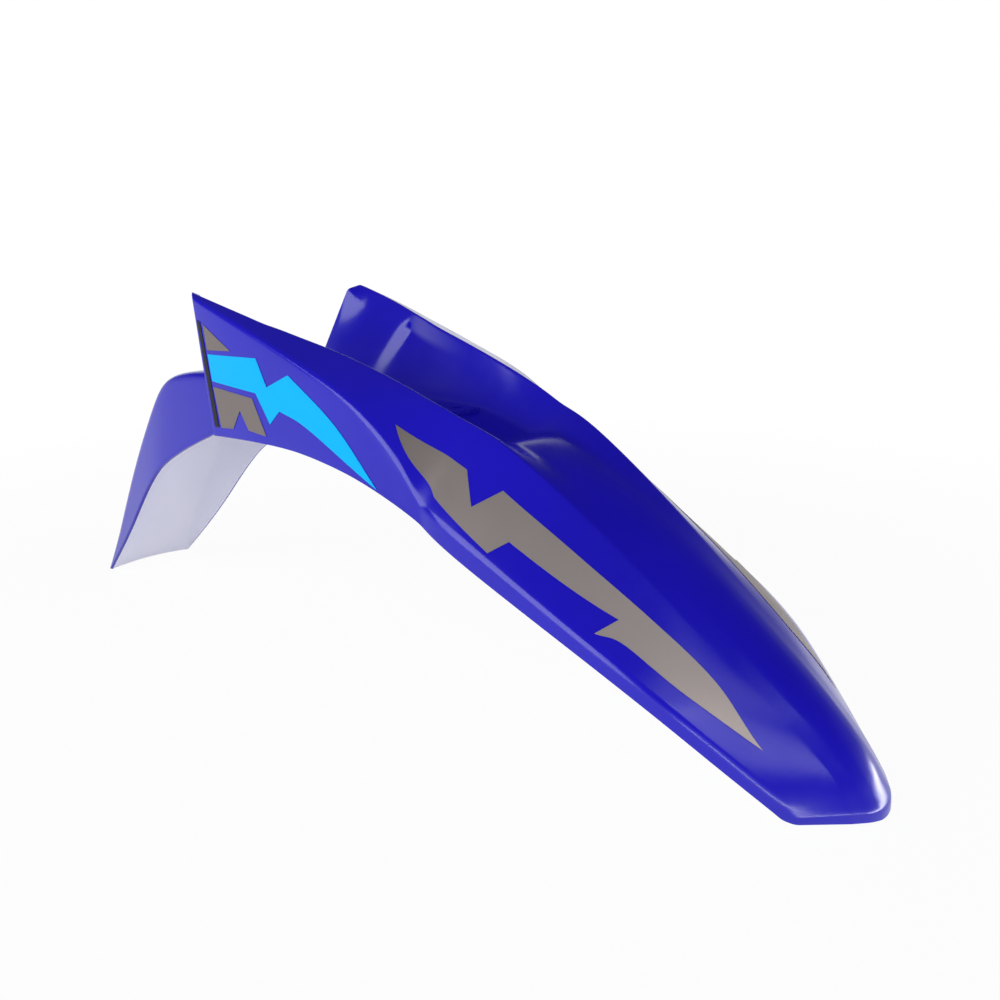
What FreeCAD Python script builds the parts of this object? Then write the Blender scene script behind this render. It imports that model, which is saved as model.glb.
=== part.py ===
import FreeCAD, Part
import os
import Sketcher

Vector = FreeCAD.Vector

# Front mudguard of an off-road motorcycle: one moulded sheet with self-adhesive trim on its sides.
# Millimetres. The origin is the middle of the seat that bolts up under the fork clamp;
# X runs forward to the nose, Y to the left and Z up along the steering axis.
SIZES = {
    "nose_reach": 371.5,        # seat to the tip of the nose
    "wing_reach": 134,          # seat back to the wing tips
    "tail_reach": 371.5,        # seat back to the end of the tail flap
    "half_width": 97,           # centre plane to the outside of the skirts
    "flap_half_width": 55,      # centre plane to the flange of the tail flap
    "wing_rise": 82.5,          # seat up to the wing tips
    "stand_drop": 192,          # seat down to the nose lip and the flap's end
    "wall": 2.6,                # moulded thickness
    "side_crown": 3,            # bulge of the blade's sides
    "recess_depth": 7,          # step in the trough walls
    "bolt_pitch_along": 64,     # clamp bolts, front to back
    "bolt_pitch_across": 44,    # clamp bolts, side to side
    "bolt_hole": 7,             # clearance hole for the clamp bolts
    "seat_margin": 12,          # bolt axis to the edge of the seat
    "seat_thickness": 5,
    "boss_diameter": 17,
    "boss_depth": 11,           # seat face to the underside of the bosses
    "rib_thickness": 2.4,
    "film": 0.25,               # thickness of the adhesive trim
    "bond": 0.15,               # adhesive between the trim and the guard
}

# Lines of the guard as drawn, from the wing tips to the nose lip. Each frame holds the lower edge,
# the crease, the ridge, the foot of the trough and the centre, as (forward, out, up).
# Frames stand close together at the step in the trough wall and at the fold between wing and blade.
GUARD_FRAMES = (
    ((-103, 95, -20), (-127, 89, 79), (-134, 84, 82.5), (-160, 57, 17), (-174, 0, 17)),
    ((-94, 95, -19.5), (-116, 90, 75.5), (-122, 83, 79.5), (-140, 55.5, 17), (-145, 0, 17)),
    ((-77, 95.5, -19), (-94, 91, 69), (-99, 81, 73.5), (-118, 53.5, 17), (-120, 0, 17)),
    ((-59, 96, -18.5), (-69, 91, 60.5), (-75, 77, 66.5), (-102, 52, 15.5), (-103, 0, 15.5)),
    ((-50, 96, -18.5), (-58, 91, 56.5), (-64, 75, 63), (-92, 51, 12), (-92.5, 0, 12)),
    ((-44, 96, -18.5), (-52, 91, 54.5), (-58, 73.5, 61.5), (-84, 50, 8), (-84, 0, 8)),
    ((-36, 96, -18.5), (-42, 91, 51), (-48, 71, 59), (-68, 48.5, 0), (-68, 0, -0.5)),
    ((-20, 96, -19), (-23, 91, 44.5), (-28, 66, 53), (-40, 46.5, -2), (-40, 0, -2)),
    ((0, 96.5, -20), (0, 91, 36), (0, 61, 46), (0, 45, -1.2), (0, 0, -1.2)),
    ((45, 97, -27), (45, 92, 19), (45, 56, 32), (45, 41, -2), (45, 0, -1.8)),
    ((80, 96.5, -38.5), (78, 92, -6), (80, 54, 19), (80, 34, -9), (80, 0, -8.5)),
    ((97, 93.5, -47.5), (94, 91, -27), (96, 51.5, 12.5), (98, 29.5, -14), (98, 0, -14)),
    ((104, 92, -52), (103, 91, -40), (107, 50, 7.5), (110, 27.5, -10.5), (110.5, 0, -10)),
    ((112, 94.5, -55.5), (111, 94, -43), (118, 49, 4), (120, 26, -8.5), (120.5, 0, -8)),
    ((135, 97, -65.5), (135, 96, -52), (137, 47.5, -4.5), (140, 24.5, -13.5), (140.5, 0, -13)),
    ((180, 97, -84.5), (180, 96.5, -72.5), (180, 44, -32), (180, 23, -31), (180, 0, -29.5)),
    ((230, 95.5, -106), (230.5, 94, -97), (231, 39.5, -69), (232, 21, -66.5), (232, 0, -65)),
    ((274, 86, -132), (276, 84, -123), (284, 35, -110), (286, 18, -106.5), (286.5, 0, -105.5)),
    ((300, 73.5, -154), (304, 71, -144), (320, 30, -138), (323, 16, -135), (323.5, 0, -134)),
    ((325, 62, -174), (330, 58.5, -165), (352, 26, -164), (357, 14, -162.5), (358, 0, -162)),
    ((330.5, 58, -178), (335.5, 54.5, -173.5), (357.5, 27, -175.5), (365, 14, -178), (367, 0, -179)),
    ((332, 57, -180.5), (337.5, 53.5, -179), (359.5, 27, -182), (367.5, 14, -184), (370, 0, -185.5)),
    ((334.5, 55, -183.5), (339.5, 52, -185.5), (361, 27, -188.5), (369, 14, -190.5), (371.5, 0, -192)),
)

# The trough wall is set outwards below its ridge ahead of a step, and fades into the ridge farther on.
STEP_FORWARD = -60
RECESS_RUN = 60
SHOULDER = 0.25             # share of the wall between its ridge and the recess
WING_CORNER = (1, -4, 15)   # from that place on the rear edge to the wing's cut corner

# Lines of the tail flap as drawn, from under the trough to its lower end.
# Each frame holds the flange's edge, the fold and the centre.
FLAP_FRAMES = (
    ((-100, 50, -2), (-132, 47, 17), (-136, 0, 17)),
    ((-115, 52.5, -9), (-142, 47, 17), (-146, 0, 17)),
    ((-138, 54, -20), (-160, 46.5, 17), (-164, 0, 17)),
    ((-168, 55, -33), (-188, 46, 17), (-190.5, 0, 17)),
    ((-200, 55, -46), (-216, 45.5, 13.5), (-218, 0, 14)),
    ((-226, 55, -59), (-245, 45, 6), (-247.5, 0, 7.5)),
    ((-245, 55, -70), (-261, 45, -12), (-264, 0, -10.5)),
    ((-260, 54.5, -83), (-278, 45, -37), (-281, 0, -35.5)),
    ((-283, 53, -106), (-306, 45, -79), (-309, 0, -77.5)),
    ((-318, 49.5, -147), (-338, 44.5, -137), (-341.5, 0, -135.5)),
    ((-366, 44.5, -191.3), (-368, 43.5, -191), (-371.5, 0, -189.5)),
)

# Outlines of the adhesive trim in side view as drawn, as (forward, up): jagged speed flashes.
# Each stroke starts where the one before it ends and runs smoothly through its points.
TRIM_OUTLINES = {
    "blade_flashes": (
        ((98, -8), (122, -18)), ((136, -37),), ((148, -28),),
        ((196, -56), (246, -88), (288, -119), (318, -149)), ((284, -124), (246, -99), (230, -93)),
        ((236, -88),), ((166, -53),), ((158, -59),), ((110, -34),), ((91, -16), (72, 6)),
    ),
    "wing_flashes": (
        ((-52, 40),), ((-40, 21),), ((-18, 31),), ((30, 2), (70, -34)), ((4, -3), (-26, 6)),
        ((-36, -4),), ((-52, 16),), ((-103, 20),), ((-108, 39),),
    ),
    "wing_peaks": (((-80, 43),), ((-108.5, 42),), ((-113, 60),)),
    "wing_fields": (
        ((-56, 12),), ((-40, -13),), ((-60, -11),), ((-70, 2),), ((-78, -12),), ((-93, -13),), ((-102, 16),),
    ),
    "wing_slivers": (((-117, 62),), ((-96, -13),), ((-101, -13),), ((-121, 63),)),
}

# Slope of each film's outward direction, as its rise for each unit out to the side.
TRIM_LEAN = {"blade_flashes": 1.2, "wing_flashes": 0, "wing_peaks": 0, "wing_fields": 0, "wing_slivers": 0}

doc = FreeCAD.newDocument("mudguard")
sheet = doc.addObject("Spreadsheet::Sheet", "Sizes")
for row, (alias, value) in enumerate(SIZES.items(), start=1):
    sheet.set(f"A{row}", alias)
    sheet.set(f"B{row}", str(value))
    sheet.setAlias(f"B{row}", alias)
doc.recompute()


def size(alias):
    """Value of one cell of the sheet."""
    return float(sheet.get(alias))


def drawn(axis, pick, frames):
    """Extreme coordinate of the drawn lines along one axis."""
    return abs(pick(point[axis] for frame in frames for point in frame))


# Stretch from the lines as drawn to the driving sizes.
AHEAD = size("nose_reach") / drawn(0, max, GUARD_FRAMES)
BEHIND = size("wing_reach") / abs(GUARD_FRAMES[0][2][0])
WIDE = size("half_width") / drawn(1, max, GUARD_FRAMES)
HIGH = size("wing_rise") / drawn(2, max, GUARD_FRAMES)
DEEP = size("stand_drop") / drawn(2, min, GUARD_FRAMES)
FLAP_WIDE = size("flap_half_width") / drawn(1, max, FLAP_FRAMES)


def upright(height):
    """Height above or below the seat at the driving sizes."""
    return height * (HIGH if height > 0 else DEEP)


def guard_point(forward, out, up):
    """Point of the guard's lines at the driving sizes."""
    return Vector(forward * (AHEAD if forward > 0 else BEHIND), out * WIDE, upright(up))


def flap_point(forward, out, up):
    """Point of the flap's lines: it laps half a wall under the trough at the wings and ends at the tail."""
    drawn_wing = abs(GUARD_FRAMES[0][2][0])
    beyond = (-forward - drawn_wing) / (drawn(0, min, FLAP_FRAMES) - drawn_wing)
    reach = size("wing_reach") + beyond * (size("tail_reach") - size("wing_reach"))
    lapped = size("wall") / 2 * (1 - beyond)
    return Vector(-reach, out * FLAP_WIDE, upright(up) - lapped)


def mirrored(half):
    """Whole section from the half that ends on the centre plane."""
    return half + [Vector(p.x, -p.y, p.z) for p in reversed(half[:-1])]


def arched(end, centre):
    """Control point of an arch across the sheet from one end to its mirror image through the centre."""
    return centre * 2 - Vector(end.x, 0, end.z)


def guard_row(frame):
    """Control points across the guard at one frame, from the left edge to the right one.

    The sides swell along the blade and run out flat at both of its ends.
    """
    edge, crease, ridge, foot, centre = [guard_point(*point) for point in frame]
    forward = frame[2][0]
    ahead = max(forward, 0) / GUARD_FRAMES[-1][2][0]
    across = ridge - crease
    lift = Vector(0, across.z, -across.y).normalize()
    side = (crease + ridge) * 0.5 + lift * size("side_crown") * min(1, 3 * ahead, 6 * (1 - ahead))
    past_step = (forward - STEP_FORWARD) / RECESS_RUN
    recess = max(1 - past_step, 0) if past_step > 0 else 0
    shoulder = ridge + (foot - ridge) * SHOULDER + Vector(0, size("recess_depth") * recess, 0)
    if frame is GUARD_FRAMES[0]:
        shoulder += guard_point(*WING_CORNER)
    return mirrored([edge, crease, side, ridge, shoulder, foot, arched(foot, centre)])


def flap_row(frame):
    """Control points across the tail flap at one frame, from the left flange to the right one."""
    edge, fold, centre = [flap_point(*point) for point in frame]
    return mirrored([edge, fold, arched(fold, centre)])


def inset(rows):
    """Rows that run forward, moved inwards by the wall, square to the sheet and mitred at its bends."""
    moved = []
    for index, row in enumerate(rows):
        ahead = rows[min(index + 1, len(rows) - 1)]
        behind = rows[max(index - 1, 0)]
        moved_row = []
        for place, point in enumerate(row):
            before = row[max(place - 1, 0)]
            after = row[min(place + 1, len(row) - 1)]
            legs = [leg.normalize() for leg in (point - before, after - point) if leg.Length > 0]
            turn = sum(legs, Vector()) * (1 / len(legs))
            inwards = (ahead[place] - behind[place]).cross(turn).normalize()
            moved_row.append(point + inwards * (size("wall") / turn.Length))
        moved.append(moved_row)
    return moved


def patch(net, lengthwise, crosswise):
    """Face over a net of control points that ends on the net's four borders."""
    degrees = (lengthwise, crosswise)
    spans = [len(points) - degree for points, degree in zip((net, net[0]), degrees)]
    mults = [[degree + 1] + [1] * (span - 1) + [degree + 1] for span, degree in zip(spans, degrees)]
    knots = [list(range(span + 1)) for span in spans]
    surface = Part.BSplineSurface()
    surface.buildFromPolesMultsKnots(net, *mults, *knots, False, False, *degrees)
    return surface.toShape()


def strips(rows, panels):
    """Slices of the rows, one for each panel: two points across a flat one, three across a curved one."""
    start = 0
    for degree in panels:
        yield degree, [row[start:start + degree + 1] for row in rows]
        start += degree


def skin(rows, panels):
    """Faces of one side of the sheet, edge to edge."""
    return [patch(net, LENGTHWISE_DEGREE, degree) for degree, net in strips(rows, panels)]


def moulded(name, rows, panels):
    """Sheet with the wall's thickness: outer skin, inner skin and the four edges between them."""
    inner = inset(rows)
    faces = skin(rows, panels) + skin(inner, panels)
    for side in (0, -1):
        faces.append(patch([[out[side], back[side]] for out, back in zip(rows, inner)], LENGTHWISE_DEGREE, 1))
    for end in (0, -1):
        for (degree, net), (_, back) in zip(strips(rows, panels), strips(inner, panels)):
            faces.append(patch(list(zip(net[end], back[end])), degree, 1))
    shell = Part.makeShell(faces)
    shell.sewShape()
    sheet_solid = Part.makeSolid(shell)
    if sheet_solid.Volume < 0:
        sheet_solid.reverse()
    feature = doc.addObject("Part::Feature", name)
    feature.Shape = sheet_solid
    return feature


# Degrees of the panels across the sheet: skirt, side, bevel, trough wall and floor of the guard,
# and flange and top of the flap.
LENGTHWISE_DEGREE = 3
GUARD_DEGREES = (1, 2, 1, 1, 2, 1, 1, 2, 1)
SIDE_COUNT = 2
FLAP_DEGREES = (1, 2, 1)

guard_rows = [guard_row(frame) for frame in GUARD_FRAMES]
flap_rows = [flap_row(frame) for frame in reversed(FLAP_FRAMES)]
moulding = doc.addObject("Part::MultiFuse", "Moulding")
moulding.Shapes = [
    moulded("GuardSheet", guard_rows, GUARD_DEGREES),
    moulded("FlapSheet", flap_rows, FLAP_DEGREES),
]
doc.recompute()

# The guard itself: the moulded walls, the clamp seat, its bolt bosses and ribs, and the bolt holes.
guard = doc.addObject("PartDesign::Body", "Guard")
guard.Label = "mudguard"
guard.BaseFeature = moulding
doc.recompute()


def seat_sketch(name):
    """Empty sketch on the plane of the seat."""
    sketch = guard.newObject("Sketcher::SketchObject", name)
    planes = {plane.Role: plane for plane in guard.Origin.OriginFeatures}
    sketch.AttachmentSupport = [(planes["XY_Plane"], "")]
    sketch.MapMode = "FlatFace"
    return sketch


def bind(sketch, expression, *constraint):
    """Dimension of a sketch that follows the sheet."""
    index = sketch.addConstraint(Sketcher.Constraint(*constraint))
    sketch.setExpression(f"Constraints[{index}]", expression)


# Ends of an edge and the axes, as sketches number them.
START, END, CENTRE = 1, 2, 3
ACROSS_AXIS, ALONG_AXIS, ORIGIN = -2, -1, (-1, 1)


def rectangle(sketch, length, width):
    """Rectangle about the origin whose sides follow two expressions; returns its four lines."""
    corners = [Vector(x, y, 0) for x, y in ((-1, -1), (1, -1), (1, 1), (-1, 1))]
    lines = [
        sketch.addGeometry(Part.LineSegment(corner, after), False)
        for corner, after in zip(corners, corners[1:] + corners[:1])
    ]
    for line, after in zip(lines, lines[1:] + lines[:1]):
        sketch.addConstraint(Sketcher.Constraint("Coincident", line, END, after, START))
    for line, way in zip(lines, ("Horizontal", "Vertical", "Horizontal", "Vertical")):
        sketch.addConstraint(Sketcher.Constraint(way, line))
    sketch.addConstraint(Sketcher.Constraint("Symmetric", lines[0], START, lines[1], END, *ORIGIN))
    bind(sketch, length, "DistanceX", lines[0], START, lines[0], END, 2)
    bind(sketch, width, "DistanceY", lines[1], START, lines[1], END, 2)
    return lines


def bolt_circles(name, diameter):
    """Sketch of one circle about each clamp bolt."""
    sketch = seat_sketch(name)
    signs = ((1, 1), (-1, 1), (-1, -1), (1, -1))
    circles = [
        sketch.addGeometry(Part.Circle(Vector(x, y, 0), Vector(0, 0, 1), 0.5), False) for x, y in signs
    ]
    for circle in circles[1:]:
        sketch.addConstraint(Sketcher.Constraint("Equal", circles[0], circle))
    for first, second, axis in ((0, 1, ACROSS_AXIS), (1, 2, ALONG_AXIS), (2, 3, ACROSS_AXIS)):
        pair = (circles[first], CENTRE, circles[second], CENTRE)
        sketch.addConstraint(Sketcher.Constraint("Symmetric", *pair, axis))
    bind(sketch, "Sizes.bolt_pitch_along / 2", "DistanceX", *ORIGIN, circles[0], CENTRE, 1)
    bind(sketch, "Sizes.bolt_pitch_across / 2", "DistanceY", *ORIGIN, circles[0], CENTRE, 1)
    bind(sketch, diameter, "Diameter", circles[0], 1)
    return sketch


def pad_down(name, sketch, depth):
    """Pad from the seat's plane downwards."""
    pad = guard.newObject("PartDesign::Pad", name)
    pad.Profile = sketch
    pad.Reversed = True
    pad.setExpression("Length", depth)
    doc.recompute()
    return pad


seat_outline = seat_sketch("SeatOutline")
rectangle(
    seat_outline,
    "Sizes.bolt_pitch_along + 2 * Sizes.seat_margin",
    "Sizes.bolt_pitch_across + 2 * Sizes.seat_margin",
)
pad_down("Seat", seat_outline, "Sizes.seat_thickness")

pad_down("Bosses", bolt_circles("BossCircles", "Sizes.boss_diameter"), "Sizes.boss_depth")

rib_ring = seat_sketch("RibRing")
for sign in ("+", "-"):
    rectangle(
        rib_ring,
        f"Sizes.bolt_pitch_along {sign} Sizes.rib_thickness",
        f"Sizes.bolt_pitch_across {sign} Sizes.rib_thickness",
    )
pad_down("Ribs", rib_ring, "Sizes.boss_depth")

before_holes = guard.Shape.Volume
holes = guard.newObject("PartDesign::Pocket", "BoltHoles")
holes.Profile = bolt_circles("HoleCircles", "Sizes.bolt_hole")
holes.Type = "ThroughAll"
holes.Midplane = True
doc.recompute()
if guard.Shape.Volume >= before_holes:
    raise RuntimeError("the bolt holes cut nothing")


def outlined(strokes):
    """Flat face on the centre plane inside one outline."""
    edges = []
    here = strokes[-1][-1]
    for stroke in strokes:
        points = [guard_point(forward, 0, up) for forward, up in (here, *stroke)]
        curve = Part.BSplineCurve()
        curve.interpolate(points)
        edges.append(curve.toShape())
        here = stroke[-1]
    return Part.Face(Part.Wire(edges))


def film(panels, strokes, outwards):
    """Piece of a side's panels inside one outline, thickened outwards."""
    cutter = outlined(strokes).extrude(Vector(0, outwards.y * 2 * size("half_width"), 0))
    stuck = [piece for panel in panels for piece in panel.common(cutter).Faces]
    outwards = outwards.normalize()
    return Part.makeShell(stuck).translated(outwards * size("bond")).extrude(outwards * size("film"))


# Adhesive trim: a piece of each of the guard's sides, cut to an outline and given a film's thickness.
guard_skin = skin(guard_rows, GUARD_DEGREES)
for name, strokes in TRIM_OUTLINES.items():
    trim = doc.addObject("Part::Feature", name)
    trim.Shape = Part.makeCompound([
        film(guard_skin[:SIDE_COUNT], strokes, Vector(0, 1, TRIM_LEAN[name])),
        film(guard_skin[-SIDE_COUNT:], strokes, Vector(0, -1, TRIM_LEAN[name])),
    ])
    trim.Label = name

doc.recompute()
pieces = [guard] + [item for item in doc.Objects if item.Label in TRIM_OUTLINES]
for item in doc.Objects:
    if "Invalid" in item.State or "Error" in item.State:
        raise RuntimeError(f"{item.Label} failed: {item.State}")
for piece in pieces:
    if piece.Shape.isNull() or not piece.Shape.isValid():
        raise RuntimeError(f"{piece.Label} has a bad shape")

os.makedirs("parts", exist_ok=True)
for piece in pieces:
    piece.Shape.exportStep(f"parts/{piece.Label}.step")
    print(piece.Label, len(piece.Shape.Solids), round(piece.Shape.Volume, 1), piece.Shape.BoundBox)
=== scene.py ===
import bpy
import math
import numpy as np
from mathutils import Euler, Matrix, Vector
from mathutils.bvhtree import BVHTree
from mathutils.geometry import delaunay_2d_cdt


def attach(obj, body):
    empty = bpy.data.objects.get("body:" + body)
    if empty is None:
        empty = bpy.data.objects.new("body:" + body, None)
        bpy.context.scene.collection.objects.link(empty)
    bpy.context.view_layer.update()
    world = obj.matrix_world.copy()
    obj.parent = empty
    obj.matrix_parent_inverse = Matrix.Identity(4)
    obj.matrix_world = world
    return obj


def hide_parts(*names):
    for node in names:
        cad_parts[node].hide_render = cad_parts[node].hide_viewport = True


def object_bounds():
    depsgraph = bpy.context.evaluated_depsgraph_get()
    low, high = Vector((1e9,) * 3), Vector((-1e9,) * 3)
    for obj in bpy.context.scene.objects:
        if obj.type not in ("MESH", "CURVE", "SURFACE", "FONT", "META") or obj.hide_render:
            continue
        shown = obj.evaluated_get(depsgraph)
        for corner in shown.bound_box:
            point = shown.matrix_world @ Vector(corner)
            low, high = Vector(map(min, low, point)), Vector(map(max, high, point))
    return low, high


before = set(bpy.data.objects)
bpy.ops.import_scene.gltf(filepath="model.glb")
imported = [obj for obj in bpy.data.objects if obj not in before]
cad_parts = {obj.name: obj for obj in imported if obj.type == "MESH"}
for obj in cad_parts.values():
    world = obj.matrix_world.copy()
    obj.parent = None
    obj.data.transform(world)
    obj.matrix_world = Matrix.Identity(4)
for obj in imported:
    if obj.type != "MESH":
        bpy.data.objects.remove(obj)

cad_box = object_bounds()

# Mudguard: one moulding of gloss blue plastic, pale and matt underneath, bolted up by its seat.
# Lines from the wing tips to the nose carry cubic splines; panels between them meet in rounded folds,
# and the sheet has one wall thickness. The flap, the seat, its bosses and ribs are joined to it.
MM = 0.001
WALL = 2.6 * MM

# Lower edge, crease, ridge, foot of the trough and centre, in millimetres.
GUARD_LINES = (
    ((-103, 95, -20), (-127, 89, 79), (-134, 84, 82.5), (-160, 57, 17), (-174, 0, 17)),
    ((-94, 95, -19.5), (-116, 90, 75.5), (-122, 83, 79.5), (-140, 55.5, 17), (-145, 0, 17)),
    ((-77, 95.5, -19), (-94, 91, 69), (-99, 81, 73.5), (-118, 53.5, 17), (-120, 0, 17)),
    ((-59, 96, -18.5), (-69, 91, 60.5), (-75, 77, 66.5), (-102, 52, 15.5), (-103, 0, 15.5)),
    ((-50, 96, -18.5), (-58, 91, 56.5), (-64, 75, 63), (-92, 51, 12), (-92.5, 0, 12)),
    ((-44, 96, -18.5), (-52, 91, 54.5), (-58, 73.5, 61.5), (-84, 50, 8), (-84, 0, 8)),
    ((-36, 96, -18.5), (-42, 91, 51), (-48, 71, 59), (-68, 48.5, 0), (-68, 0, -0.5)),
    ((-20, 96, -19), (-23, 91, 44.5), (-28, 66, 53), (-40, 46.5, -2), (-40, 0, -2)),
    ((0, 96.5, -20), (0, 91, 36), (0, 61, 46), (0, 45, -1.2), (0, 0, -1.2)),
    ((45, 97, -27), (45, 92, 19), (45, 56, 32), (45, 41, -2), (45, 0, -1.8)),
    ((80, 96.5, -38.5), (78, 92, -6), (80, 54, 19), (80, 34, -9), (80, 0, -8.5)),
    ((97, 93.5, -47.5), (94, 91, -27), (96, 51.5, 12.5), (98, 29.5, -14), (98, 0, -14)),
    ((104, 92, -52), (103, 91, -40), (107, 50, 7.5), (110, 27.5, -10.5), (110.5, 0, -10)),
    ((112, 94.5, -55.5), (111, 94, -43), (118, 49, 4), (120, 26, -8.5), (120.5, 0, -8)),
    ((135, 97, -65.5), (135, 96, -52), (137, 47.5, -4.5), (140, 24.5, -13.5), (140.5, 0, -13)),
    ((180, 97, -84.5), (180, 96.5, -72.5), (180, 44, -32), (180, 23, -31), (180, 0, -29.5)),
    ((230, 95.5, -106), (230.5, 94, -97), (231, 39.5, -69), (232, 21, -66.5), (232, 0, -65)),
    ((274, 86, -132), (276, 84, -123), (284, 35, -110), (286, 18, -106.5), (286.5, 0, -105.5)),
    ((300, 73.5, -154), (303, 71.5, -146.5), (320, 30, -138), (323, 16, -135), (323.5, 0, -134)),
    ((325, 62, -174), (329, 59.5, -169), (348, 26.5, -163.5), (353, 14, -162), (354.5, 0, -161.5)),
    ((331, 57.8, -180), (336, 54.6, -178), (357.5, 27, -178), (364.5, 14, -179), (366.5, 0, -179.5)),
    ((332.8, 56.7, -181.8), (338.7, 52.9, -181.2), (360.4, 27, -182.4), (368.4, 14, -184.4),
     (370.7, 0, -185.7)),
    ((333.3, 56.3, -182.3), (339.4, 52.5, -182.2), (361, 27, -184.2), (369, 14, -186.2), (371.3, 0, -187.5)),
    ((334.5, 55, -183.5), (339.5, 52, -185.5), (361, 27, -188.5), (369, 14, -190.5), (371.5, 0, -192)),
)
# Flange edge, fold and centre of the flap, from under the trough to its lower end.
FLAP_LINES = (
    ((-100, 50, -2), (-132, 47, 17), (-136, 0, 17)),
    ((-115, 52.5, -9), (-142, 47, 17), (-146, 0, 17)),
    ((-138, 54, -20), (-160, 46.5, 17), (-164, 0, 17)),
    ((-168, 55, -33), (-188, 46, 17), (-190.5, 0, 17)),
    ((-200, 55, -46), (-216, 45.5, 13.5), (-218, 0, 14)),
    ((-226, 55, -59), (-245, 45, 6), (-247.5, 0, 7.5)),
    ((-245, 55, -70), (-261, 45, -12), (-264, 0, -10.5)),
    ((-260, 54.5, -83), (-278, 45, -37), (-281, 0, -35.5)),
    ((-283, 53, -106), (-306, 45, -79), (-309, 0, -77.5)),
    ((-318, 49.5, -147), (-338, 44.5, -137), (-341.5, 0, -135.5)),
    ((-366, 44.5, -191.3), (-368, 43.5, -191), (-371.5, 0, -189.5)),
)
NOSE_RIDGE = GUARD_LINES[-1][2][0]
WING_REACH = -GUARD_LINES[0][2][0]
TAIL_REACH = -FLAP_LINES[-1][2][0]

# The sides swell ahead of the seat and flatten again at the nose.
SIDE_CROWN, CROWN_GROWTH, CROWN_DECAY = 3.0, 3, 6
# The trough wall steps outwards at one place and runs back in ahead of it.
STEP_FORWARD, RECESS_RUN, RECESS_DEPTH = -60, 60, 7
# The wall's bend lies at this share of its way down, and is drawn up at the wing tip.
SHOULDER, WING_CORNER = 0.25, (2, -4, 13)


def mirrored(half):
    """Whole section from the half that ends on the centre plane."""
    return half + [point * (1, -1, 1) for point in reversed(half[:-1])]


def arched(end, centre):
    """Control point of an arch from one end to its mirror image through the centre."""
    return centre * 2 - end * (1, 0, 1)


def guard_section(line):
    """Control points across the guard, with the sides' crown and the step in the trough wall."""
    edge, crease, ridge, foot, centre = [np.array(point, float) for point in line]
    across = ridge - crease
    lift = np.array((0, across[2], -across[1])) / math.hypot(across[1], across[2])
    ahead = max(ridge[0], 0) / NOSE_RIDGE
    swell = min(1, CROWN_GROWTH * ahead, CROWN_DECAY * (1 - ahead))
    side = (crease + ridge) / 2 + lift * SIDE_CROWN * swell
    past_step = (ridge[0] - STEP_FORWARD) / RECESS_RUN
    recess = max(1 - past_step, 0) if past_step > 0 else 0
    shoulder = ridge + (foot - ridge) * SHOULDER + (0, RECESS_DEPTH * recess, 0)
    if line is GUARD_LINES[0]:
        shoulder += WING_CORNER
    return mirrored([edge, crease, side, ridge, shoulder, foot, arched(foot, centre)])


def flap_section(line):
    """Control points across the flap, which laps half a wall under the trough and ends level with it."""
    points = np.array(line, float)
    beyond = (-points[:, 0] - WING_REACH) / (TAIL_REACH - WING_REACH)
    points[:, 2] -= WALL / MM / 2 * (1 - beyond)
    edge, fold, centre = points
    return mirrored([edge, fold, arched(fold, centre)])


JUST_INSIDE = 1e-9


def along(sections, count):
    """Cubic splines along the control points: one array of points for each place across."""
    poles = np.array(sections)
    spans = len(poles) - 3
    knots = np.concatenate(([0] * 3, np.arange(spans + 1), [spans] * 3)).astype(float)
    u = np.linspace(0, spans - JUST_INSIDE, count)[:, None]
    basis = ((knots[:-1] <= u) & (u < knots[1:])).astype(float)
    for degree in range(1, 4):
        rise = knots[degree:-1] - knots[:-degree - 1]
        fall = knots[degree + 1:] - knots[1:-degree]
        up = np.where(rise > 0, (u - knots[:-degree - 1]) / np.where(rise > 0, rise, 1), 0)
        down = np.where(fall > 0, (knots[degree + 1:] - u) / np.where(fall > 0, fall, 1), 0)
        basis = basis[:, :-1] * up + basis[:, 1:] * down
    return np.einsum("ur,rpk->puk", basis, poles) * MM


def bezier(poles, t):
    """Curve over control points that are arrays, at the parameters t of each row."""
    poles = [pole[:, None] for pole in poles]
    while len(poles) > 1:
        poles = [a + (b - a) * t[..., None] for a, b in zip(poles, poles[1:])]
    return poles[0]


# A fold takes at most this share of a narrow panel, and has this many points with its two ends.
FOLD_SHARE, FOLD_POINTS = 0.4, 7


def folded(lines, panels, counts, folds):
    """Grid over panels of some degree and count of points, with a fold of some length at each joint."""
    columns, start = [], 0
    trims = [0] + [fold * MM for fold in folds] + [0]
    for place, (degree, count) in enumerate(zip(panels, counts)):
        poles = lines[start:start + degree + 1]
        start += degree
        length = np.linalg.norm(poles[-1] - poles[0], axis=1)
        first, last = [np.minimum(trim / length, FOLD_SHARE)[:, None] for trim in trims[place:place + 2]]
        step = np.linspace(0, 1, count)[None]
        columns.append((poles, bezier(poles, first + (1 - first - last) * step)))
    grid = [columns[0][1]]
    bend_steps = np.linspace(0, 1, FOLD_POINTS)[None, 1:-1]
    for (poles, before), (_, after) in zip(columns, columns[1:]):
        grid.append(bezier([before[:, -1], poles[-1], after[:, 0]], bend_steps))
        grid.append(after)
    return np.concatenate(grid, axis=1)


def grid_normals(grid):
    """Outward normals of a grid that runs forward and from left to right."""
    normal = np.cross(np.gradient(grid, axis=1), np.gradient(grid, axis=0))
    return normal / np.linalg.norm(normal, axis=2, keepdims=True)


def grid_faces(rows, columns):
    """Quads over a grid of vertices, wound to face outwards."""
    index = np.arange(rows * columns).reshape(rows, columns)
    quads = (index[:-1, :-1], index[:-1, 1:], index[1:, 1:], index[1:, :-1])
    return np.stack(quads, axis=-1).reshape(-1, 4)


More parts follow.
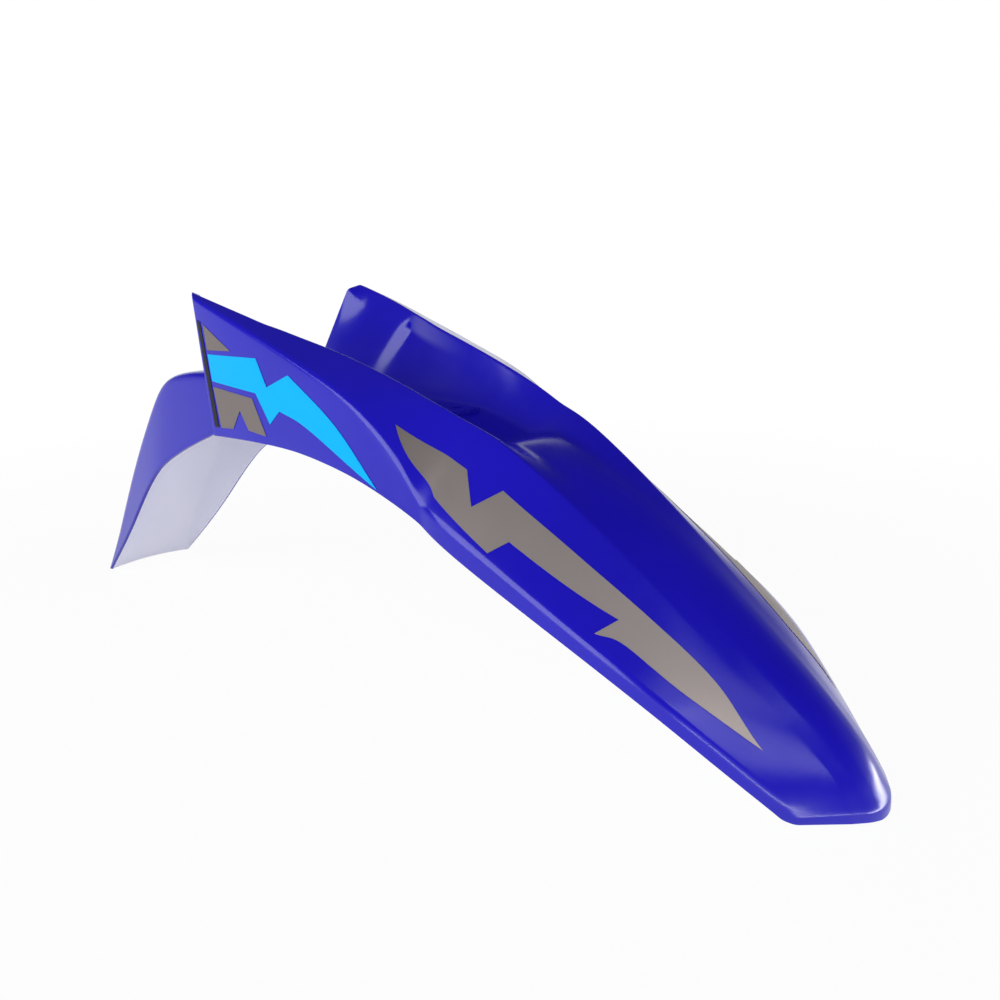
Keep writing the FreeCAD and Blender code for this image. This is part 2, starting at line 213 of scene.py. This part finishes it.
def new_object(name, vertices, faces, materials, marks=None):
    """Object from plain lists, with a material index for each face."""
    mesh = bpy.data.meshes.new(name)
    mesh.from_pydata([tuple(v) for v in vertices], [], [tuple(int(i) for i in f) for f in faces])
    for material in materials:
        mesh.materials.append(material)
    if marks is not None:
        mesh.polygons.foreach_set("material_index", np.array(marks, dtype=np.int32))
    mesh.update()
    piece = bpy.data.objects.new(name, mesh)
    bpy.context.scene.collection.objects.link(piece)
    return piece


def settled(piece):
    """Replaces the piece's mesh by the one its modifiers make, and drops the modifiers."""
    depsgraph = bpy.context.evaluated_depsgraph_get()
    mesh = bpy.data.meshes.new_from_object(piece.evaluated_get(depsgraph))
    piece.modifiers.clear()
    piece.data = mesh
    return piece


RIM_EASE, RIM_SEGMENTS, RIM_ANGLE = 0.7 * MM, 3, 50


def walled(name, grid, materials):
    """Closed sheet of the wall's thickness under a grid, pale on its inner side, with eased rims."""
    rows, columns = grid.shape[:2]
    inner = grid - grid_normals(grid) * WALL
    size = rows * columns
    index = np.arange(size).reshape(rows, columns)
    ring = np.concatenate((index[0, :-1], index[:-1, -1], index[-1, :0:-1], index[:0:-1, 0]))
    after = np.roll(ring, -1)
    rim = np.stack((ring, ring + size, after + size, after), axis=-1)
    outside = grid_faces(rows, columns)
    faces = np.concatenate((outside, outside[:, ::-1] + size, rim))
    marks = [0] * len(outside) + [1] * len(outside) + [0] * len(rim)
    points = np.concatenate((grid.reshape(-1, 3), inner.reshape(-1, 3)))
    piece = new_object(name, points, faces, materials, marks)
    ease = piece.modifiers.new("Ease", "BEVEL")
    ease.width = RIM_EASE
    ease.segments = RIM_SEGMENTS
    ease.limit_method = "ANGLE"
    ease.angle_limit = math.radians(RIM_ANGLE)
    return settled(piece)


# Most of a noise lies in this band.
NOISE_BAND = (0.3, 0.7)


def noise(nodes, links, scale, detail):
    """Noise over object coordinates."""
    place = nodes.new("ShaderNodeTexCoord")
    texture = nodes.new("ShaderNodeTexNoise")
    texture.inputs["Scale"].default_value = scale
    texture.inputs["Detail"].default_value = detail
    links.new(place.outputs["Object"], texture.inputs["Vector"])
    return texture.outputs["Fac"]


def ramp(nodes, links, value, colours, band=NOISE_BAND):
    """Colour that runs from the first to the second as the value goes through the band."""
    node = nodes.new("ShaderNodeValToRGB")
    for element, position, colour in zip(node.color_ramp.elements, band, colours):
        element.position = position
        element.color = (*colour, 1)
    links.new(value, node.inputs["Fac"])
    return node.outputs["Color"]


def spread(nodes, links, value, ends, band=NOISE_BAND):
    """Number that runs from the first to the second as the value goes through the band."""
    node = nodes.new("ShaderNodeMapRange")
    for socket, number in zip(("From Min", "From Max", "To Min", "To Max"), (*band, *ends)):
        node.inputs[socket].default_value = number
    links.new(value, node.inputs["Value"])
    return node.outputs["Result"]


def finish(nodes, links, colour, gloss, roughness, grain, relief):
    """Gives the shader its colour, a roughness that varies and a fine relief, and returns it."""
    shader = nodes["Principled BSDF"]
    links.new(colour, shader.inputs["Base Color"])
    links.new(spread(nodes, links, noise(nodes, links, *gloss), roughness), shader.inputs["Roughness"])
    bump = nodes.new("ShaderNodeBump")
    bump.inputs["Distance"].default_value = relief
    links.new(noise(nodes, links, *grain), bump.inputs["Height"])
    links.new(bump.outputs["Normal"], shader.inputs["Normal"])
    return shader


def new_material(name):
    """Material with its nodes and links."""
    material = bpy.data.materials.new(name)
    material.use_nodes = True
    return material, material.node_tree.nodes, material.node_tree.links


def plastic(name, colours, cloud, gloss, roughness, grain, relief):
    """Moulded plastic, faintly clouded; each noise is given by its scale and detail."""
    material, nodes, links = new_material(name)
    clouded = ramp(nodes, links, noise(nodes, links, *cloud), colours)
    finish(nodes, links, clouded, gloss, roughness, grain, relief)
    return material


blue = plastic(
    "blue_plastic",
    colours=((0.007, 0.003, 0.43), (0.009, 0.004, 0.48)),
    cloud=(9, 3),
    gloss=(60, 4),
    roughness=(0.16, 0.22),
    grain=(420, 2),
    relief=0.02 * MM,
)
pale = plastic(
    "pale_underside",
    colours=((0.84, 0.84, 0.99), (0.89, 0.89, 1.0)),
    cloud=(14, 4),
    gloss=(90, 3),
    roughness=(0.5, 0.62),
    grain=(1500, 2),
    relief=0.05 * MM,
)

guard_grid = folded(
    along([guard_section(line) for line in GUARD_LINES], count=225),
    panels=(1, 2, 1, 1, 2, 1, 1, 2, 1),
    counts=(7, 14, 5, 10, 25, 10, 5, 14, 7),
    folds=(3.5, 2, 3, 7, 7, 3, 2, 3.5),
)
mudguard = walled("mudguard_visual", guard_grid, (blue, pale))
flap_grid = folded(
    along([flap_section(line) for line in reversed(FLAP_LINES)], count=129),
    panels=(1, 2, 1),
    counts=(14, 25, 14),
    folds=(7, 7),
)
flap = walled("flap_sheet", flap_grid, (blue, pale))

# The seat is a plate with a ring of ribs and a boss below each bolt.
BOLT_PITCH = (64 * MM, 44 * MM)
SEAT_MARGIN, SEAT_DEPTH = 12 * MM, 5 * MM
BOSS_RADIUS, BOSS_DEPTH, RIB = 8.5 * MM, 11 * MM, 2.4 * MM
HOLE_RADIUS, HOLE_FROM, HOLE_TO = 3.5 * MM, 20 * MM, -30 * MM
ROUND_SIDES = 64


def block(name, half_length, half_width, top, bottom, side):
    """Box about the bolts' middle, blue on top and pale below, with sides of one of the two."""
    points = [(x * half_length, y * half_width, z) for z in (bottom, top)
              for x, y in ((-1, -1), (1, -1), (1, 1), (-1, 1))]
    faces = [(3, 2, 1, 0), (4, 5, 6, 7), (0, 1, 5, 4), (1, 2, 6, 5), (2, 3, 7, 6), (3, 0, 4, 7)]
    return new_object(name, points, faces, (blue, pale), (1, 0, *[side] * 4))


def at_bolts(name, radius, top, bottom, material):
    """One cylinder at each clamp bolt, from a node tree with named inputs for its sizes."""
    tree = bpy.data.node_groups.new(name, "GeometryNodeTree")
    tree.interface.new_socket("Geometry", in_out="OUTPUT", socket_type="NodeSocketGeometry")
    sizes = {
        "Pitch Along": BOLT_PITCH[0],
        "Pitch Across": BOLT_PITCH[1],
        "Radius": radius,
        "Depth": top - bottom,
        "Middle": (top + bottom) / 2,
    }
    identifiers = {}
    for label in sizes:
        socket = tree.interface.new_socket(label, in_out="INPUT", socket_type="NodeSocketFloat")
        identifiers[label] = socket.identifier
    nodes, links = tree.nodes, tree.links
    given = nodes.new("NodeGroupInput")
    grid = nodes.new("GeometryNodeMeshGrid")
    grid.inputs["Vertices X"].default_value = 2
    grid.inputs["Vertices Y"].default_value = 2
    cylinder = nodes.new("GeometryNodeMeshCylinder")
    cylinder.inputs["Vertices"].default_value = ROUND_SIDES
    height = nodes.new("ShaderNodeCombineXYZ")
    lower = nodes.new("GeometryNodeTransform")
    spots = nodes.new("GeometryNodeInstanceOnPoints")
    real = nodes.new("GeometryNodeRealizeInstances")
    paint = nodes.new("GeometryNodeSetMaterial")
    paint.inputs["Material"].default_value = material
    out = nodes.new("NodeGroupOutput")
    links.new(given.outputs["Pitch Along"], grid.inputs["Size X"])
    links.new(given.outputs["Pitch Across"], grid.inputs["Size Y"])
    links.new(given.outputs["Radius"], cylinder.inputs["Radius"])
    links.new(given.outputs["Depth"], cylinder.inputs["Depth"])
    links.new(given.outputs["Middle"], height.inputs["Z"])
    links.new(height.outputs["Vector"], lower.inputs["Translation"])
    links.new(cylinder.outputs["Mesh"], lower.inputs["Geometry"])
    links.new(grid.outputs["Mesh"], spots.inputs["Points"])
    links.new(lower.outputs["Geometry"], spots.inputs["Instance"])
    links.new(spots.outputs["Instances"], real.inputs["Geometry"])
    links.new(real.outputs["Geometry"], paint.inputs["Geometry"])
    links.new(paint.outputs["Geometry"], out.inputs["Geometry"])
    piece = new_object(name, [], [], ())
    modifier = piece.modifiers.new(name, "NODES")
    modifier.node_group = tree
    for label, size in sizes.items():
        modifier[identifiers[label]] = size
    return settled(piece)


def combined(piece, tool, operation):
    """Joins a closed tool to the piece or cuts it away, and removes the tool."""
    join = piece.modifiers.new(operation, "BOOLEAN")
    join.operation = operation
    join.solver = "EXACT"
    join.object = tool
    join.material_mode = "TRANSFER"
    settled(piece)
    bpy.data.objects.remove(tool)


def shaded(piece, sharp):
    """Smooth shading, apart from edges that turn by more than an angle in degrees."""
    piece.data.polygons.foreach_set("use_smooth", [True] * len(piece.data.polygons))
    piece.data.set_sharp_from_angle(angle=math.radians(sharp))


half_along, half_across = BOLT_PITCH[0] / 2, BOLT_PITCH[1] / 2
seat_middle = -SEAT_DEPTH / 2
seat = block("seat", half_along + SEAT_MARGIN, half_across + SEAT_MARGIN, 0, -SEAT_DEPTH, side=0)
ribs = block("ribs", half_along + RIB / 2, half_across + RIB / 2, seat_middle, -BOSS_DEPTH, side=1)
inside = block("rib_inside", half_along - RIB / 2, half_across - RIB / 2, 0, -2 * BOSS_DEPTH, side=1)
combined(ribs, inside, "DIFFERENCE")
combined(mudguard, flap, "UNION")
combined(mudguard, seat, "UNION")
combined(mudguard, ribs, "UNION")
combined(mudguard, at_bolts("bosses", BOSS_RADIUS, seat_middle, -BOSS_DEPTH, pale), "UNION")
combined(mudguard, at_bolts("bolt_holes", HOLE_RADIUS, HOLE_FROM, HOLE_TO, blue), "DIFFERENCE")
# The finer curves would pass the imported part's box by a hair, so they are held inside it.
points = np.array([vertex.co for vertex in mudguard.data.vertices])
mudguard.data.vertices.foreach_set("co", np.clip(points, *cad_box).ravel())
shaded(mudguard, sharp=35)
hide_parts("mudguard")
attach(mudguard, "root")

# Blade flashes: one long grey film on each side of the blade, cut to a jagged speed shape.
# It is printed vinyl stuck to the side panel. Its outline is drawn in side view, as x and z in
# millimetres, thrown onto the guard's skin and given the film's thickness over a thin bond.
FILM, BOND = 0.25 * MM, 0.15 * MM
OUTLINE_STEP, FILM_MESH = 2.0, 3.0
CAST_FROM = 200 * MM
INSIDE_ONLY, SAME_POINT = 1, 1e-4
skin = BVHTree.FromPolygons(
    [tuple(point) for point in guard_grid.reshape(-1, 3)],
    [tuple(int(i) for i in face) for face in grid_faces(*guard_grid.shape[:2])],
)


def smooth_stroke(points, step):
    """Points along a curve through the given ones, or along a line between two."""
    points = np.array(points, float)
    ends = (2 * points[0] - points[1], 2 * points[-1] - points[-2])
    padded = np.vstack((ends[0], points, ends[1]))
    path = []
    for a, b, c, d in zip(padded, padded[1:], padded[2:], padded[3:]):
        count = max(2, int(np.linalg.norm(c - b) / step))
        for t in np.arange(count) / count:
            path.append(0.5 * (2 * b + (c - a) * t + (2 * a - 5 * b + 4 * c - d) * t ** 2
                               + (3 * b - a - 3 * c + d) * t ** 3))
    return path


def film(name, strokes, material):
    """Pair of films on the guard's two sides inside one outline of strokes, each ending in a corner."""
    outline, here = [], strokes[-1][-1]
    for stroke in strokes:
        outline += smooth_stroke((here, *stroke), OUTLINE_STEP)
        here = stroke[-1]
    outline = np.array(outline)
    low, high = outline.min(axis=0), outline.max(axis=0)
    across, up = [np.arange(start, end, FILM_MESH) for start, end in zip(low, high)]
    inner = [(x, z) for x in across for z in up]
    ring = list(range(len(outline)))
    border = list(zip(ring, ring[1:] + ring[:1]))
    points = [Vector(point) for point in (*outline, *inner)]
    flat, _, faces, _, _, _ = delaunay_2d_cdt(points, border, [ring], INSIDE_ONLY, SAME_POINT)
    used = sorted({i for face in faces for i in face})
    place = {i: n for n, i in enumerate(used)}
    foot, out = [], []
    for i in used:
        start = Vector((flat[i].x * MM, CAST_FROM, flat[i].y * MM))
        hit, normal, _, _ = skin.ray_cast(start, Vector((0, -1, 0)))
        foot.append(hit)
        out.append(normal)
    foot, out = np.array(foot), np.array(out)
    faces = [[place[i] for i in face] for face in faces]
    edges = {(a, b) for face in faces for a, b in zip(face, face[1:] + face[:1])}
    rim = [(a, b) for a, b in edges if (b, a) not in edges]
    count = len(used)
    near, far = foot + out * BOND, foot + out * (BOND + FILM)
    sheet = [face[::-1] for face in faces] + [[i + count for i in face] for face in faces]
    sheet += [(a, b, b + count, a + count) for a, b in rim]
    turned = [face[::-1] for face in sheet]
    first, second, third = far[faces[0][:3]]
    if np.dot(np.cross(second - first, third - first), out[faces[0][0]]) < 0:
        sheet, turned = turned, sheet
    left = np.concatenate((near, far))
    both = np.concatenate((left, left * (1, -1, 1)))
    right = [[i + len(left) for i in face] for face in turned]
    piece = new_object(name, both, sheet + right, (material,))
    shaded(piece, sharp=40)
    return piece


# The grey film is darker at the waist and lighter toward the nose, and has a fine fleck and little shine.
FADE = (80 * MM, 320 * MM)
FLECK, FLECK_NOISE = ((0.93, 0.93, 0.93), (1, 1, 1)), (1800, 2)
VINYL_GLOSS, VINYL_GRAIN, VINYL_RELIEF = (45, 3), (900, 2), 0.01 * MM
VINYL_SPECULAR = 0.12


def vinyl(name, rear, nose, roughness, metallic):
    """Satin printed film with a fine fleck, whose colour runs from the rear to the nose."""
    material, nodes, links = new_material(name)
    place = nodes.new("ShaderNodeTexCoord")
    split = nodes.new("ShaderNodeSeparateXYZ")
    links.new(place.outputs["Object"], split.inputs["Vector"])
    printed = nodes.new("ShaderNodeMix")
    printed.data_type = "RGBA"
    printed.blend_type = "MULTIPLY"
    printed.inputs["Factor"].default_value = 1
    links.new(ramp(nodes, links, split.outputs["X"], (rear, nose), FADE), printed.inputs["A"])
    links.new(ramp(nodes, links, noise(nodes, links, *FLECK_NOISE), FLECK), printed.inputs["B"])
    colour = printed.outputs["Result"]
    shader = finish(nodes, links, colour, VINYL_GLOSS, roughness, VINYL_GRAIN, VINYL_RELIEF)
    shader.inputs["Metallic"].default_value = metallic
    shader.inputs["Specular IOR Level"].default_value = VINYL_SPECULAR
    return material


grey = vinyl("grey_vinyl", (0.20, 0.175, 0.17), (0.42, 0.37, 0.36), roughness=(0.32, 0.4), metallic=0.25)
blade_flashes = film("blade_flashes_visual", (
    ((98, -8), (122, -18)), ((136, -37),), ((148, -28),),
    ((196, -56), (246, -88), (288, -119), (318, -149)), ((284, -124), (246, -99), (230, -93)),
    ((236, -88),), ((166, -53),), ((158, -59),), ((110, -34),), ((91, -16), (72, 6)),
), grey)
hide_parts("blade_flashes")
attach(blade_flashes, "root")

# Wing flashes: a cyan film on each wing that sweeps forward in a jagged tail.
# It is printed vinyl, stuck to the side between the crease and the lower edge, and made like the blade's.
CYAN = (0.0, 0.45, 0.90)
cyan = vinyl("cyan_vinyl", CYAN, CYAN, roughness=(0.28, 0.36), metallic=0.0)
wing_flashes = film("wing_flashes_visual", (
    ((-52, 40),), ((-40, 21),), ((-18, 31),), ((30, 2), (70, -34)), ((4, -3), (-26, 6)),
    ((-36, -4),), ((-52, 16),), ((-103, 20),), ((-108, 39),),
), cyan)
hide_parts("wing_flashes")
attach(wing_flashes, "root")

# Wing peaks: a small point above the cyan film on each wing.
# It is cut from the same grey vinyl as the blade's film, and stuck on in the wing's rear corner.
wing_peaks = film("wing_peaks_visual", (((-80, 43),), ((-108.5, 42),), ((-113, 60),)), grey)
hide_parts("wing_peaks")
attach(wing_peaks, "root")

# Wing fields: a field with a toothed lower edge under the cyan film on each wing.
# It is cut from the same grey vinyl as the blade's film, and stuck on just above the wing's lower edge.
wing_fields = film("wing_fields_visual", (
    ((-56, 12),), ((-40, -13),), ((-60, -11),), ((-70, 2),), ((-78, -12),), ((-93, -13),), ((-102, 16),),
), grey)
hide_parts("wing_fields")
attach(wing_fields, "root")

# Wing slivers: a narrow strip along the rear edge of each wing's trim.
# It is black vinyl, stuck on beside the other films and made like them.
BLACK = (0.02, 0.02, 0.024)
black = vinyl("black_vinyl", BLACK, BLACK, roughness=(0.3, 0.4), metallic=0.0)
wing_slivers = film("wing_slivers_visual", (
    ((-117, 62),), ((-96, -13),), ((-101, -13),), ((-121, 63),),
), black)
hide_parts("wing_slivers")
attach(wing_slivers, "root")

# Stage: a white floor that the guard stands on as an arch, soft lamps and the photo's camera.
# To the eye the floor and the backdrop are white, with a faint shadow near the guard. Reflections show
# the same floor, and a backdrop that is white low down and dimmer above and on the guard's left.
FLOOR = min(cad_box[0][2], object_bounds()[0][2])
FLOOR_HALF = 8.0
FLOOR_GREY, FLOOR_ROUGHNESS = (0.9, 0.9, 0.9, 1), 0.9
# Share of plain white in the floor, from near the guard to further off.
FLOOR_WHITE, FLOOR_NEAR_FAR = (0.95, 1.0), (0.5, 1.2)
# Strength of the backdrop, as its direction's upward and leftward parts go through a band.
SKY_UP, SKY_UP_BAND = (1.0, 0.12), (0.04, 0.38)
SKY_LEFT, SKY_LEFT_BAND = (1.0, 0.35), (0.1, 0.7)


def joined(nodes, links, operation, first, second):
    """Result of one operation on two numbers."""
    node = nodes.new("ShaderNodeMath")
    node.operation = operation
    links.new(first, node.inputs[0])
    links.new(second, node.inputs[1])
    return node.outputs["Value"]


floor_material, nodes, links = new_material("floor")
surface = nodes["Principled BSDF"]
surface.inputs["Base Color"].default_value = FLOOR_GREY
surface.inputs["Roughness"].default_value = FLOOR_ROUGHNESS
surface.inputs["Specular IOR Level"].default_value = 0
place = nodes.new("ShaderNodeTexCoord")
distance = nodes.new("ShaderNodeVectorMath")
distance.operation = "LENGTH"
links.new(place.outputs["Object"], distance.inputs[0])
white = spread(nodes, links, distance.outputs["Value"], FLOOR_WHITE, FLOOR_NEAR_FAR)
path = nodes.new("ShaderNodeLightPath")
seen = path.outputs["Is Camera Ray"]
for ray in ("Is Glossy Ray", "Is Transmission Ray"):
    seen = joined(nodes, links, "MAXIMUM", seen, path.outputs[ray])
glow = nodes.new("ShaderNodeEmission")
blend = nodes.new("ShaderNodeMixShader")
links.new(joined(nodes, links, "MULTIPLY", seen, white), blend.inputs["Fac"])
links.new(surface.outputs["BSDF"], blend.inputs[1])
links.new(glow.outputs["Emission"], blend.inputs[2])
links.new(blend.outputs["Shader"], nodes["Material Output"].inputs["Surface"])
corners = [(x * FLOOR_HALF, y * FLOOR_HALF, FLOOR) for x, y in ((-1, -1), (1, -1), (1, 1), (-1, 1))]
floor = new_object("floor", corners, [(0, 1, 2, 3)], (floor_material,))

world = bpy.data.worlds.new("studio")
world.use_nodes = True
bpy.context.scene.world = world
nodes, links = world.node_tree.nodes, world.node_tree.links
place = nodes.new("ShaderNodeTexCoord")
split = nodes.new("ShaderNodeSeparateXYZ")
links.new(place.outputs["Generated"], split.inputs["Vector"])
upward = spread(nodes, links, split.outputs["Z"], SKY_UP, SKY_UP_BAND)
leftward = spread(nodes, links, split.outputs["Y"], SKY_LEFT, SKY_LEFT_BAND)
strength = joined(nodes, links, "MULTIPLY", upward, leftward)
path = nodes.new("ShaderNodeLightPath")
for ray in ("Is Camera Ray", "Is Transmission Ray"):
    strength = joined(nodes, links, "MAXIMUM", strength, path.outputs[ray])
links.new(strength, nodes["Background"].inputs["Strength"])
nodes["Background"].inputs["Color"].default_value = (1, 1, 1, 1)


def softbox(name, way, distance, width, height, power):
    """Rectangular lamp in one direction from the guard, facing it."""
    lamp = bpy.data.lights.new(name, "AREA")
    lamp.shape = "RECTANGLE"
    lamp.size = width
    lamp.size_y = height
    lamp.energy = power
    holder = bpy.data.objects.new(name, lamp)
    holder.location = Vector(way).normalized() * distance
    holder.rotation_euler = (-Vector(way)).to_track_quat("-Z", "Y").to_euler()
    bpy.context.scene.collection.objects.link(holder)


softbox("key", way=(-0.05, -0.9, 0.43), distance=2.0, width=2.2, height=1.4, power=33)
softbox("front", way=(0.74, 0.1, 0.66), distance=1.9, width=1.2, height=0.5, power=1.8)
softbox("glint", way=(0.86, -0.03, 0.5), distance=1.9, width=0.8, height=0.6, power=2.8)
softbox("fill", way=(0.86, -0.42, -0.1), distance=1.3, width=1.2, height=0.08, power=2.2)
softbox("flap_fill", way=(0.8, 0.5, -0.1), distance=1.3, width=1.2, height=0.08, power=4.5)
softbox("back", way=(-0.75, 0.6, 0.25), distance=2.0, width=2.2, height=1.0, power=6)

# The camera stands to the right of the nose and looks back and down at the guard.
CAMERA_PLACE = (0.520, -0.5208, 0.118)
CAMERA_TURN, CAMERA_DIP = 39.457, 14.465
CAMERA_LENS, CAMERA_SENSOR = 36, 36
lens = bpy.data.cameras.new("camera")
lens.lens = CAMERA_LENS
lens.sensor_width = CAMERA_SENSOR
camera = bpy.data.objects.new("camera", lens)
aim = Euler((math.radians(90 - CAMERA_DIP), 0, math.radians(CAMERA_TURN)))
camera.matrix_world = Matrix.LocRotScale(Vector(CAMERA_PLACE), aim, None)
bpy.context.scene.collection.objects.link(camera)
bpy.context.scene.camera = camera
bpy.context.scene.view_settings.view_transform = "Standard"
